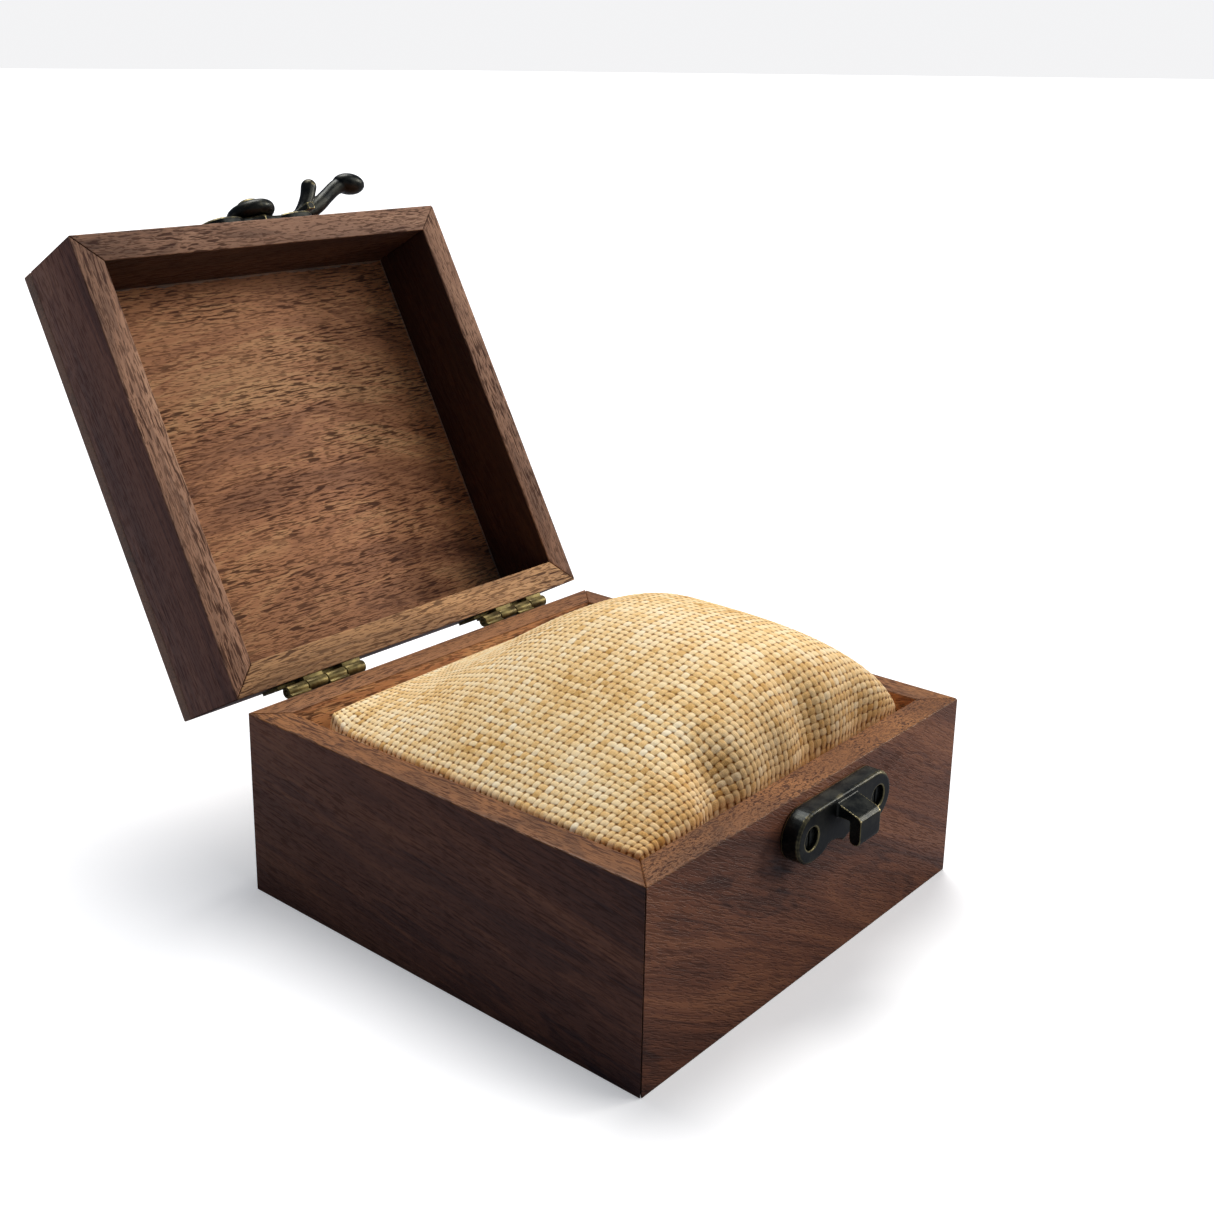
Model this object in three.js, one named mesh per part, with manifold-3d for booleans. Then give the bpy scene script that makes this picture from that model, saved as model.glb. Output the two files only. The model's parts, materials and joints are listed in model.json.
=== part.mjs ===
// A walnut box for one watch: a mitred base that holds a burlap cushion, a mitred lid on two brass
// butt hinges, and a cast bronze latch whose swinging lever hooks behind a catch on the base.
//
// Millimetres, +Z up. X runs along the front, Y from front to back, and the origin is the middle of
// the base's underside. The lid is drawn shut and then turned open about the hinge pins.

import * as THREE from 'three';
import { mergeVertices } from 'three/addons/utils/BufferGeometryUtils.js';
import Module from 'manifold-3d';

const wasm = await Module();
wasm.setup();

// ---- Driving dimensions ----

const BOX_WIDTH = 100;
const BOX_DEPTH = 98;
const BASE_HEIGHT = 38;
const LID_HEIGHT = 21;
const WALL = 6;
const BOTTOM_PANEL = 4;
const TOP_PANEL = 3;
const LID_GAP = 0.5;
const LID_OPEN_DEGREES = 119;
const SEAM = 0.1;

const HINGE_CENTRES_X = { left: -29, right: 27 };
const HINGE_LENGTH = 20;
const HINGE_LEAF = 0.8;
const HINGE_LEAF_WIDTH = 8;
const HINGE_STANDOFF = 2;
const KNUCKLES = 4;
const KNUCKLE_RADIUS = 1.2;
const KNUCKLE_BORE = 0.6;
const KNUCKLE_GAP = 0.25;
const PIN_RADIUS = 0.42;
const NAIL_SPACING = 12;
const NAIL = { shank: 0.45, hole: 0.65, head: 1.0, headHeight: 0.45, depth: 4 };

const LATCH_X = 2.5;
const LATCH_PLATE_LENGTH = 31;
const LATCH_PLATE_HEIGHT = 9.8;
const LATCH_PLATE = 3;
const CATCH_PLATE = 3.7;
const LATCH_ABOVE_RIM = 8.5;
const CATCH_BELOW_RIM = 6.8;
const LATCH_SCREW_SPACING = 22;
const SCREW = { shank: 0.9, hole: 1.1, head: 1.9, sink: 2.15, headHeight: 1.1, sinkDepth: 1.9, depth: 4 };
const SCREW_SLOT = { width: 0.5, depth: 0.5 };

const NUB_WIDTH = 6.6;
const NUB_REACH = 8.6;
const NUB_SLOT_FACE = 6.4;
const NUB_UNDERSIDE = 1.4;
const NUB_ROOT_TOP = 3.9;
const NUB_NOSE_TOP = 2.5;
const NUB_DROP = 3.1;

const EYE_RADIUS = 5.6;
const EYE_BORE = 1.5;
const EYE_FOOT = LATCH_PLATE + 0.3;
const EYE_TOP = 6.9;
const RIVET = { shank: 1.3, head: 2.6, headHeight: 1.1, clearance: 0.2 };
const ARM_RADIUS = 1.05;
const TAIL_RADIUS = 1.8;
const HORN_RADIUS = 1.7;
const HOOK = { near: 14.9, far: 16.9, root: 5.4, tip: -2.4, foot: 4.15, top: 5.85 };

const CUSHION_CLEARANCE = 0.8;
const CUSHION_LIFT = 0.4;
const CUSHION_SHOULDER = 34;
const CUSHION_TOP = 55.8;
const CUSHION_SQUARENESS = { low: 7, top: 3.2 };

// ---- Derived places ----

const RIM = BASE_HEIGHT + LID_GAP;
const LID_WALL_HEIGHT = LID_HEIGHT - TOP_PANEL;
const LID_TOP = RIM + LID_HEIGHT;
const FRONT = -BOX_DEPTH / 2;
const BACK = BOX_DEPTH / 2;
const AXIS_Y = BACK + HINGE_STANDOFF;
const AXIS_Z = BASE_HEIGHT + LID_GAP / 2;
const CATCH_Z = BASE_HEIGHT - CATCH_BELOW_RIM;
const LATCH_Z = RIM + LATCH_ABOVE_RIM;
const KNUCKLE_LENGTH = (HINGE_LENGTH - (KNUCKLES - 1) * KNUCKLE_GAP) / KNUCKLES;

// ---- Finishes ----

function finish(color, roughness, metalness) {
  return new THREE.MeshStandardMaterial({ color, roughness, metalness });
}

const walnut = finish(0x5f4237, 0.55, 0);
const walnutInside = finish(0x8a5f42, 0.6, 0);
const agedBrass = finish(0x8c7d46, 0.4, 1);
const agedBronze = finish(0x2e2f2c, 0.4, 1);
const burlap = finish(0xe3c795, 0.95, 0);

// ---- Solids: joining and cutting closed meshes ----

function toSolid(geometry) {
  const bare = geometry.clone();
  bare.deleteAttribute('normal');
  bare.deleteAttribute('uv');
  const merged = mergeVertices(bare, 1e-4);
  const vertProperties = new Float32Array(merged.attributes.position.array);
  const triVerts = new Uint32Array(merged.index.array);
  return new wasm.Manifold(new wasm.Mesh({ numProp: 3, vertProperties, triVerts }));
}

function toGeometry(solid) {
  const mesh = solid.getMesh();
  const geometry = new THREE.BufferGeometry();
  geometry.setAttribute('position', new THREE.BufferAttribute(mesh.vertProperties, 3));
  geometry.setIndex(new THREE.BufferAttribute(mesh.triVerts, 1));
  geometry.computeVertexNormals();
  return geometry;
}

function join(first, ...others) {
  return toGeometry(others.reduce((solid, other) => solid.add(toSolid(other)), toSolid(first)));
}

function cut(body, ...tools) {
  return toGeometry(tools.reduce((solid, tool) => solid.subtract(toSolid(tool)), toSolid(body)));
}

// A round bar whose axis is X, Y or Z, from one end's coordinate to the other's.
function bar(axis, radius, start, end, centre = [0, 0, 0], sides = 20) {
  const geometry = new THREE.CylinderGeometry(radius, radius, end - start, sides);
  const middle = (start + end) / 2;
  if (axis === 'x') {
    geometry.rotateZ(-Math.PI / 2).translate(middle, 0, 0);
  } else if (axis === 'y') {
    geometry.translate(0, middle, 0);
  } else {
    geometry.rotateX(Math.PI / 2).translate(0, 0, middle);
  }
  return geometry.translate(...centre);
}

function block(low, high) {
  const size = high.map((value, k) => value - low[k]);
  const middle = high.map((value, k) => (value + low[k]) / 2);
  return new THREE.BoxGeometry(...size).translate(...middle);
}

// ---- The object's groups ----

const watchBox = new THREE.Group();

const lidHinge = new THREE.Group();
lidHinge.position.set(0, AXIS_Y, AXIS_Z);
lidHinge.rotation.x = -THREE.MathUtils.degToRad(LID_OPEN_DEGREES);
watchBox.add(lidHinge);

const lid = new THREE.Group();
lid.position.set(0, -AXIS_Y, -AXIS_Z);
lidHinge.add(lid);

function place(group, name, geometry, material) {
  const mesh = new THREE.Mesh(geometry, material);
  mesh.name = name;
  group.add(mesh);
  return mesh;
}

// ---- Wooden boards ----

// A board with both ends cut at 45 degrees: its outer face is y = 0 and its inner face y = WALL.
function mitredBoard(length, height) {
  const half = length / 2 - SEAM * Math.SQRT1_2;
  const plan = new THREE.Shape([
    new THREE.Vector2(-half, 0),
    new THREE.Vector2(half, 0),
    new THREE.Vector2(half - WALL, WALL),
    new THREE.Vector2(WALL - half, WALL),
  ]);
  return new THREE.ExtrudeGeometry(plan, { depth: height, bevelEnabled: false });
}

// A hole drilled into a board's outer face, with x and z counted in the board's own frame.
function pilotHole([x, z], radius, depth) {
  return bar('y', radius, -1, depth, [x, 0, z], 16);
}

function wallRing(group, prefix, bottom, height, frontHoles, backHoles) {
  const front = cut(mitredBoard(BOX_WIDTH, height), ...frontHoles);
  const back = cut(mitredBoard(BOX_WIDTH, height), ...backHoles);
  const side = mitredBoard(BOX_DEPTH, height);
  place(group, `${prefix}_front_wall`, front, walnut).position.set(0, FRONT, bottom);
  const backMesh = place(group, `${prefix}_back_wall`, back, walnut);
  backMesh.position.set(0, BACK, bottom);
  backMesh.rotation.z = Math.PI;
  const leftMesh = place(group, `${prefix}_left_wall`, side, walnut);
  leftMesh.position.set(-BOX_WIDTH / 2, 0, bottom);
  leftMesh.rotation.z = -Math.PI / 2;
  const rightMesh = place(group, `${prefix}_right_wall`, side, walnut);
  rightMesh.position.set(BOX_WIDTH / 2, 0, bottom);
  rightMesh.rotation.z = Math.PI / 2;
}

const nailOffsets = [-NAIL_SPACING / 2, NAIL_SPACING / 2];
const nailXs = Object.values(HINGE_CENTRES_X).flatMap((x) => nailOffsets.map((offset) => x + offset));
const baseNailZ = AXIS_Z - HINGE_LEAF_WIDTH * 0.6;
const lidNailZ = AXIS_Z + HINGE_LEAF_WIDTH * 0.6;
const screwXs = { left: LATCH_X - LATCH_SCREW_SPACING / 2, right: LATCH_X + LATCH_SCREW_SPACING / 2 };

function nailHoles(z) {
  return nailXs.map((x) => pilotHole([-x, z], NAIL.hole, NAIL.depth));
}

function screwHoles(z) {
  return Object.values(screwXs).map((x) => pilotHole([x, z], SCREW.hole, SCREW.depth + 0.5));
}

wallRing(watchBox, 'base', 0, BASE_HEIGHT, screwHoles(CATCH_Z), nailHoles(baseNailZ));
wallRing(lid, 'lid', RIM, LID_WALL_HEIGHT, screwHoles(LATCH_Z - RIM), nailHoles(lidNailZ - RIM));

const insideX = BOX_WIDTH / 2 - WALL - SEAM;
const insideY = BOX_DEPTH / 2 - WALL - SEAM;
const bottomPanel = block([-insideX, -insideY, 0], [insideX, insideY, BOTTOM_PANEL]);
place(watchBox, 'base_bottom_panel', bottomPanel, walnutInside);

const topPanelLow = [-BOX_WIDTH / 2, FRONT, LID_TOP - TOP_PANEL + SEAM];
const topPanel = block(topPanelLow, [BOX_WIDTH / 2, BACK, LID_TOP]);
place(lid, 'lid_top_panel', topPanel, walnutInside);

// ---- Hinges ----

// Knuckle number k of a hinge, counted from its left end, as a start and an end along X.
function knuckleSpan(centreX, k) {
  const start = centreX - HINGE_LENGTH / 2 + k * (KNUCKLE_LENGTH + KNUCKLE_GAP);
  return [start, start + KNUCKLE_LENGTH];
}

// One leaf: up is +1 for the lid's leaf and -1 for the base's. It owns every second knuckle, which
// it reaches by a bent web, and it is cut away beside the knuckles and webs of the other leaf.
function hingeLeaf(centreX, up, firstKnuckle) {
  const leafFace = BACK + SEAM;
  const zs = [AXIS_Z, AXIS_Z + up * HINGE_LEAF_WIDTH].sort((a, b) => a - b);
  const low = [centreX - HINGE_LENGTH / 2, leafFace, zs[0]];
  const high = [centreX + HINGE_LENGTH / 2, leafFace + HINGE_LEAF, zs[1]];
  let solid = toSolid(block(low, high));
  for (let k = 0; k < KNUCKLES; k += 1) {
    const [start, end] = knuckleSpan(centreX, k);
    if (k % 2 === firstKnuckle) {
      const webZs = [AXIS_Z, AXIS_Z + up * HINGE_LEAF].sort((a, b) => a - b);
      const web = block([start, leafFace, webZs[0]], [end, AXIS_Y, webZs[1]]);
      const knuckle = bar('x', KNUCKLE_RADIUS, start, end, [0, AXIS_Y, AXIS_Z], 24);
      solid = solid.add(toSolid(web)).add(toSolid(knuckle));
    } else {
      const reach = Math.hypot(HINGE_STANDOFF, HINGE_LEAF) + KNUCKLE_GAP;
      const from = [start - KNUCKLE_GAP, BACK, AXIS_Z - reach];
      const to = [end + KNUCKLE_GAP, BACK + 2 * HINGE_LEAF, AXIS_Z + reach];
      solid = solid.subtract(toSolid(block(from, to)));
    }
  }
  const along = [centreX - HINGE_LENGTH, centreX + HINGE_LENGTH];
  solid = solid.subtract(toSolid(bar('x', KNUCKLE_BORE, ...along, [0, AXIS_Y, AXIS_Z], 16)));
  const nailZ = up > 0 ? lidNailZ : baseNailZ;
  for (const offset of nailOffsets) {
    solid = solid.subtract(toSolid(pilotHole([centreX + offset, nailZ], NAIL.hole, BOX_DEPTH)));
  }
  return toGeometry(solid);
}

// A round-headed nail driven into the back, at x and z: its shank ends inside the board.
function hingeNail(x, z) {
  const headStart = BACK + SEAM + HINGE_LEAF + 0.05;
  const shank = bar('y', NAIL.shank, BACK - NAIL.depth + 0.5, headStart + 0.1, [x, 0, z], 12);
  const rim = bar('y', NAIL.head, headStart, headStart + NAIL.headHeight, [x, 0, z], 16);
  return join(shank, rim);
}

for (const [side, centreX] of Object.entries(HINGE_CENTRES_X)) {
  place(watchBox, `hinge_${side}_base_leaf`, hingeLeaf(centreX, -1, 0), agedBrass);
  place(lid, `hinge_${side}_lid_leaf`, hingeLeaf(centreX, 1, 1), agedBrass);
  const pinEnds = [centreX - HINGE_LENGTH / 2, centreX + HINGE_LENGTH / 2];
  const pin = bar('x', PIN_RADIUS, ...pinEnds, [0, AXIS_Y, AXIS_Z], 16);
  place(watchBox, `hinge_${side}_pin`, pin, agedBrass);
  nailOffsets.forEach((offset, k) => {
    const x = centreX + offset;
    place(watchBox, `hinge_${side}_base_nail_${k + 1}`, hingeNail(x, baseNailZ), agedBrass);
    place(lid, `hinge_${side}_lid_nail_${k + 1}`, hingeNail(x, lidNailZ), agedBrass);
  });
}

// ---- Latch: drawn on the front face, with x to the right, y up the face and z out of it ----

function frontFace(group, z) {
  const face = new THREE.Group();
  face.position.set(LATCH_X, FRONT, z);
  face.rotation.x = Math.PI / 2;
  group.add(face);
  return face;
}

// The outline shared by both plates: round ends, a straight top and a bottom edge that rises on
// either side of the middle.
function plateOutline() {
  const lobe = LATCH_PLATE_HEIGHT / 2;
  const lobeX = LATCH_PLATE_LENGTH / 2 - lobe;
  const outline = new THREE.Shape();
  outline.moveTo(lobeX, -lobe);
  outline.absarc(lobeX, 0, lobe, -Math.PI / 2, Math.PI / 2, false);
  outline.absarc(-lobeX, 0, lobe, Math.PI / 2, 1.5 * Math.PI, false);
  outline.quadraticCurveTo(-lobeX * 0.62, -lobe, -lobeX * 0.5, -lobe * 0.68);
  outline.quadraticCurveTo(-lobeX * 0.25, -lobe * 0.62, 0, -lobe * 0.95);
  outline.quadraticCurveTo(lobeX * 0.25, -lobe * 0.62, lobeX * 0.5, -lobe * 0.68);
  outline.quadraticCurveTo(lobeX * 0.62, -lobe, lobeX, -lobe);
  return outline;
}

// A plate of that thickness. Both its faces are bevelled, and the bevel behind is cut away again.
function latchPlate(thickness) {
  const bevel = 0.4;
  const options = { depth: thickness - SEAM - bevel, bevelThickness: bevel, bevelSize: bevel };
  Object.assign(options, { bevelOffset: -bevel, bevelSegments: 1, curveSegments: 8 });
  const plate = new THREE.ExtrudeGeometry(plateOutline(), options).translate(0, 0, SEAM);
  const behindLow = [-LATCH_PLATE_LENGTH, -LATCH_PLATE_HEIGHT, -thickness];
  const behind = block(behindLow, [LATCH_PLATE_LENGTH, LATCH_PLATE_HEIGHT, SEAM]);
  const holes = [-1, 1].flatMap((side) => {
    const centre = [side * LATCH_SCREW_SPACING / 2, 0, 0];
    const sinkFoot = thickness - SCREW.sinkDepth;
    return [
      bar('z', SCREW.hole, -1, thickness + 1, centre, 16),
      bar('z', SCREW.sink, sinkFoot, thickness + 1, centre, 20),
    ];
  });
  return cut(plate, behind, ...holes);
}

// The catch's nub: a bar that slopes down as it stands out from the plate, just below the plate's
// top edge, and turns down in front of a slot.
function catchNub() {
  const round = (NUB_REACH - NUB_SLOT_FACE) / 2;
  const chamfer = 0.7;
  const profile = new THREE.Shape();
  profile.moveTo(1, NUB_UNDERSIDE);
  profile.lineTo(NUB_SLOT_FACE, NUB_UNDERSIDE);
  profile.lineTo(NUB_SLOT_FACE, round - NUB_DROP);
  profile.absarc(NUB_SLOT_FACE + round, round - NUB_DROP, round, Math.PI, 2 * Math.PI, false);
  profile.lineTo(NUB_REACH, NUB_NOSE_TOP - chamfer);
  profile.lineTo(NUB_REACH - chamfer, NUB_NOSE_TOP);
  profile.lineTo(CATCH_PLATE, NUB_ROOT_TOP);
  profile.lineTo(1, NUB_ROOT_TOP);
  profile.closePath();
  const options = { depth: NUB_WIDTH, bevelEnabled: false, curveSegments: 6 };
  const nub = new THREE.ExtrudeGeometry(profile, options);
  return nub.rotateY(-Math.PI / 2).translate(NUB_WIDTH / 2, 0, 0);
}

// A screw sunk below the face of a plate of that thickness, centred on its own axis.
function latchScrew(thickness) {
  const headTop = thickness - SCREW.sinkDepth + 0.1 + SCREW.headHeight;
  const head = bar('z', SCREW.head, headTop - SCREW.headHeight, headTop, [0, 0, 0], 20);
  const shank = bar('z', SCREW.shank, -SCREW.depth, headTop - 0.2, [0, 0, 0], 12);
  const slotLow = [-SCREW_SLOT.width / 2, -2 * SCREW.head, headTop - SCREW_SLOT.depth];
  const slot = block(slotLow, [SCREW_SLOT.width / 2, 2 * SCREW.head, headTop + 1]);
  return cut(join(head, shank), slot);
}

// A round bar swept along a smooth path, closed at both ends.
function sweep(points, radius, steps, sides = 12) {
  const path = new THREE.CatmullRomCurve3(points.map((point) => new THREE.Vector3(...point)));
  const section = new THREE.Shape().absarc(0, 0, radius, 0, 2 * Math.PI, false);
  const corners = section.getPoints(sides / 2);
  const options = { steps, extrudePath: path, bevelEnabled: false };
  return new THREE.ExtrudeGeometry(new THREE.Shape(corners), options);
}

function ball(centre, radii, turn = 0) {
  const geometry = new THREE.SphereGeometry(1, 20, 14).scale(...radii);
  return geometry.rotateY(turn).translate(...centre);
}

// The lever's eye: a domed washer around the rivet.
function leverEye() {
  const profile = [
    [EYE_BORE, EYE_FOOT],
    [EYE_RADIUS, EYE_FOOT],
    [EYE_RADIUS, EYE_FOOT + 1],
    [EYE_RADIUS - 0.7, EYE_FOOT + 2.1],
    [EYE_RADIUS - 2.2, EYE_TOP - 0.4],
    [EYE_RADIUS - 3.2, EYE_TOP],
    [EYE_BORE, EYE_TOP],
    [EYE_BORE, EYE_FOOT],
  ];
  const points = profile.map(([radius, height]) => new THREE.Vector2(radius, height));
  return new THREE.LatheGeometry(points, 32).rotateX(Math.PI / 2);
}

// The lever at rest points to the right: an arm that bows away from the rim, a flat hook that
// turns back towards the rim close to the face, a short horn and a long tail with a bulb.
function latchLever() {
  const armPath = [[3.4, 1.5, 4.7], [7.5, 4.1, 4.9], [11, 5.3, 5], [15, 5.7, 5.1], [18.6, 5.6, 5.8]];
  const tailPath = [[17.8, 5.6, 5.8], [21.4, 5.3, 6.4], [24.8, 4.9, 8], [30.8, 4, 11.6], [34, 3.7, 12.4]];
  const hornPath = [[18.6, 5.6, 5.9], [20.4, 5.4, 7.8], [23.5, 4.7, 12.6]];
  const hookMiddle = (HOOK.near + HOOK.far) / 2;
  const hookRadius = (HOOK.far - HOOK.near) / 2;
  const hook = block([HOOK.near, HOOK.tip + hookRadius, HOOK.foot], [HOOK.far, HOOK.root, HOOK.top]);
  const hookTip = [hookMiddle, HOOK.tip + hookRadius, 0];
  return join(
    leverEye(),
    cut(sweep(armPath, ARM_RADIUS, 16), bar('z', EYE_BORE, 0, EYE_TOP + 2)),
    hook,
    bar('z', hookRadius, HOOK.foot, HOOK.top, hookTip, 16),
    sweep(tailPath, TAIL_RADIUS, 12),
    ball([35, 3.6, 12.2], [4.4, 3, 2.5], 0.15),
    sweep(hornPath, HORN_RADIUS, 8),
    ball([23.5, 4.7, 12.6], [1.9, 1.9, 1.9]),
  );
}

function latchRivet() {
  const headFoot = EYE_TOP + RIVET.clearance;
  const head = [
    [0, headFoot],
    [RIVET.head, headFoot],
    [RIVET.head * 0.92, headFoot + RIVET.headHeight * 0.5],
    [RIVET.head * 0.6, headFoot + RIVET.headHeight * 0.9],
    [0, headFoot + RIVET.headHeight],
  ];
  const points = head.map(([radius, height]) => new THREE.Vector2(radius, height));
  const dome = new THREE.LatheGeometry(points, 24).rotateX(Math.PI / 2);
  return join(dome, bar('z', RIVET.shank, LATCH_PLATE + 0.1, headFoot + 0.2, [0, 0, 0], 16));
}

const catchFace = frontFace(watchBox, CATCH_Z);
const latchFace = frontFace(lid, LATCH_Z);
place(catchFace, 'catch_plate', join(latchPlate(CATCH_PLATE), catchNub()), agedBronze);
place(latchFace, 'lid_latch_plate', latchPlate(LATCH_PLATE), agedBronze);
place(latchFace, 'latch_rivet', latchRivet(), agedBronze);
place(latchFace, 'latch_lever', latchLever(), agedBronze);
for (const [side, x] of Object.entries(screwXs)) {
  const offset = x - LATCH_X;
  const catchScrew = place(catchFace, `catch_screw_${side}`, latchScrew(CATCH_PLATE), agedBronze);
  const lidScrew = place(latchFace, `lid_latch_screw_${side}`, latchScrew(LATCH_PLATE), agedBronze);
  catchScrew.position.x = offset;
  lidScrew.position.x = offset;
}

// ---- Cushion ----

// A stuffed cushion as a stack of rounded-square rings, squarer low in the well and rounder on top.
function cushion() {
  const halfX = BOX_WIDTH / 2 - WALL - CUSHION_CLEARANCE;
  const halfY = BOX_DEPTH / 2 - WALL - CUSHION_CLEARANCE;
  const foot = BOTTOM_PANEL + CUSHION_LIFT;
  const around = 40;
  const rings = [];
  const lowLevels = [[0, 0.9], [0.12, 0.97], [0.35, 1], [0.8, 1]];
  for (const [part, scale] of lowLevels) {
    rings.push({ z: foot + part * (BASE_HEIGHT - foot), scale, corner: CUSHION_SQUARENESS.low });
  }
  const domeSteps = 7;
  for (let k = 1; k < domeSteps; k += 1) {
    const part = k / domeSteps;
    const rise = Math.sin(part * Math.PI / 2);
    const scale = Math.cos(part * Math.PI / 2) ** 0.8;
    const z = CUSHION_SHOULDER + rise * (CUSHION_TOP - CUSHION_SHOULDER);
    const corner = THREE.MathUtils.lerp(CUSHION_SQUARENESS.low, CUSHION_SQUARENESS.top, part);
    rings.push({ z, scale, corner });
  }
  const positions = [0, 0, foot];
  for (const { z, scale, corner } of rings) {
    for (let k = 0; k < around; k += 1) {
      const angle = (k / around) * 2 * Math.PI;
      const [c, s] = [Math.cos(angle), Math.sin(angle)];
      const reach = scale / (Math.abs(c) ** corner + Math.abs(s) ** corner) ** (1 / corner);
      positions.push(halfX * reach * c, halfY * reach * s, z);
    }
  }
  const top = positions.length / 3;
  positions.push(0, 0, CUSHION_TOP);
  const index = [];
  for (let k = 0; k < around; k += 1) {
    const next = (k + 1) % around;
    index.push(0, 1 + next, 1 + k);
    for (let ring = 0; ring < rings.length - 1; ring += 1) {
      const [low, high] = [1 + ring * around, 1 + (ring + 1) * around];
      index.push(low + k, low + next, high + next);
      index.push(low + k, high + next, high + k);
    }
    const last = 1 + (rings.length - 1) * around;
    index.push(last + k, last + next, top);
  }
  const geometry = new THREE.BufferGeometry();
  geometry.setAttribute('position', new THREE.Float32BufferAttribute(positions, 3));
  geometry.setIndex(index);
  geometry.computeVertexNormals();
  return geometry;
}

place(watchBox, 'cushion', cushion(), burlap);

export default watchBox;
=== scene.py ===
"""The looks of a walnut watch box: oiled boards, aged brass hinges, a blackened bronze latch and a
burlap cushion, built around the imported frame."""

import json
import math
from typing import NamedTuple

import bmesh
import bpy
import numpy as np
from mathutils import Matrix, Vector


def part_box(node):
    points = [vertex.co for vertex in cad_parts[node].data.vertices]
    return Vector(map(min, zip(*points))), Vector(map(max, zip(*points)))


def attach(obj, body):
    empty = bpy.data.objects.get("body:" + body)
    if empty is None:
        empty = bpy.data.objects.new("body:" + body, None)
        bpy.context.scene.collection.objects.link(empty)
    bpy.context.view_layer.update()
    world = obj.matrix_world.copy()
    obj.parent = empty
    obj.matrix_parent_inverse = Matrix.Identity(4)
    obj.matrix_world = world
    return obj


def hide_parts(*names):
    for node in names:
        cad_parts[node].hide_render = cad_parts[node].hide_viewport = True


MM = 0.001

# The photograph's viewpoint, in metres and degrees, in the frame of the box.
CAMERA_PLACE = Vector((-0.21811, -0.17883, 0.15878))
CAMERA_AZIMUTH = -48.66
CAMERA_ELEVATION = 16.0
CAMERA_ROLL = 0.47
CAMERA_LENS = 45.96
CAMERA_SHIFT = (0.0382, -0.0802)

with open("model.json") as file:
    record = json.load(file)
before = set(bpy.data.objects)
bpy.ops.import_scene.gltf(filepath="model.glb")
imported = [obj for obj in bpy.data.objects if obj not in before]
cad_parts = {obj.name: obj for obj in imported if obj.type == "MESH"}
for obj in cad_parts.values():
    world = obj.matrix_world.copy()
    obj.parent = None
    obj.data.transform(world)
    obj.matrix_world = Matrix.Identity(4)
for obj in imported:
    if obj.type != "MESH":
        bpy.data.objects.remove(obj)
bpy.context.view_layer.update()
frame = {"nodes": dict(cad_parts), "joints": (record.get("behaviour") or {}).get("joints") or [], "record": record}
nodes = frame["nodes"]
joints = {joint["name"]: joint for joint in frame["joints"]}
hinge_place = Vector(joints["lid_hinge"]["pos_m"])
open_angle = math.radians(joints["lid_hinge"]["range_deg"][1])
SHUT = (
    Matrix.Translation(hinge_place)
    @ Matrix.Rotation(open_angle, 4, "X")
    @ Matrix.Translation(-hinge_place)
)
base_low, base_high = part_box("base_left_wall")
RIM = base_high.z
LID_RIM = 2 * hinge_place.z - RIM
SHUT_TOP = max((SHUT @ vertex.co).z for vertex in nodes["lid_top_panel"].data.vertices)
HALF_X = -base_low.x
HALF_Y = -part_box("base_front_wall")[0].y
WALL = base_high.x - base_low.x


# ---- Shader trees ----


class Shader:
    """A material whose node tree is built call by call."""

    def __init__(self, name):
        self.material = bpy.data.materials.new(name)
        self.material.use_nodes = True
        self.tree = self.material.node_tree
        self.tree.nodes.clear()

    def add(self, kind, inputs=None, **settings):
        node = self.tree.nodes.new("ShaderNode" + kind)
        for key, value in settings.items():
            setattr(node, key, value)
        for key, value in (inputs or {}).items():
            self.feed(node.inputs[key], value)
        return node

    def feed(self, socket, value):
        if isinstance(value, bpy.types.NodeSocket):
            self.tree.links.new(value, socket)
        else:
            socket.default_value = value

    def math(self, operation, *values, clamp=False):
        inputs = dict(enumerate(values))
        return self.add("Math", inputs, operation=operation, use_clamp=clamp).outputs[0]

    def smooth(self, value, low, high):
        """0 below low, 1 above high, and a smooth step between them."""
        settings = {"interpolation_type": "SMOOTHSTEP"}
        return self.add("MapRange", {0: value, 1: low, 2: high}, **settings).outputs[0]

    def mix(self, factor, first, second, blend="MIX"):
        settings = {"data_type": "RGBA", "blend_type": blend}
        return self.add("Mix", {0: factor, 6: first, 7: second}, **settings).outputs[2]

    def blend(self, factor, first, second):
        """The same mix for plain numbers."""
        return self.add("Mix", {0: factor, 2: first, 3: second}).outputs[0]

    def ramp(self, factor, stops):
        node = self.add("ValToRGB", {0: factor})
        elements = node.color_ramp.elements
        while len(elements) < len(stops):
            elements.new(0.5)
        for element, (position, colour) in zip(elements, stops):
            element.position = position
            element.color = (*colour, 1)
        return node.outputs[0]

    def vector(self, x, y, z):
        return self.add("CombineXYZ", {0: x, 1: y, 2: z}).outputs[0]

    def noise(self, vector, scale, detail=3.0, roughness=0.5, distortion=0.0):
        inputs = {"Vector": vector, "Scale": scale, "Detail": detail}
        inputs.update({"Roughness": roughness, "Distortion": distortion})
        return self.add("TexNoise", inputs).outputs[0]

    def finish(self, inputs, height, depth, strength=1.0):
        """The Principled shader with those inputs, and a bump of height times depth metres."""
        bump = self.add("Bump", {"Height": height, "Distance": depth, "Strength": strength})
        inputs = {**inputs, "Normal": bump.outputs[0]}
        shader = self.add("BsdfPrincipled", inputs)
        output = self.add("OutputMaterial")
        self.tree.links.new(shader.outputs[0], output.inputs[0])
        return self.material


def shut_coordinates(shader, on_lid):
    """Where a point is in the shut box, in millimetres, as three sockets."""
    place = shader.add("TexCoord").outputs["Object"]
    if on_lid:
        turn = SHUT.to_euler()
        move = SHUT.to_translation()
        inputs = {"Vector": place, "Location": move, "Rotation": turn}
        place = shader.add("Mapping", inputs, vector_type="POINT").outputs[0]
    scaled = shader.add("VectorMath", {0: place, 3: 1 / MM}, operation="SCALE").outputs[0]
    return shader.add("SeparateXYZ", {0: scaled}).outputs


# ---- Walnut ----

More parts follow.
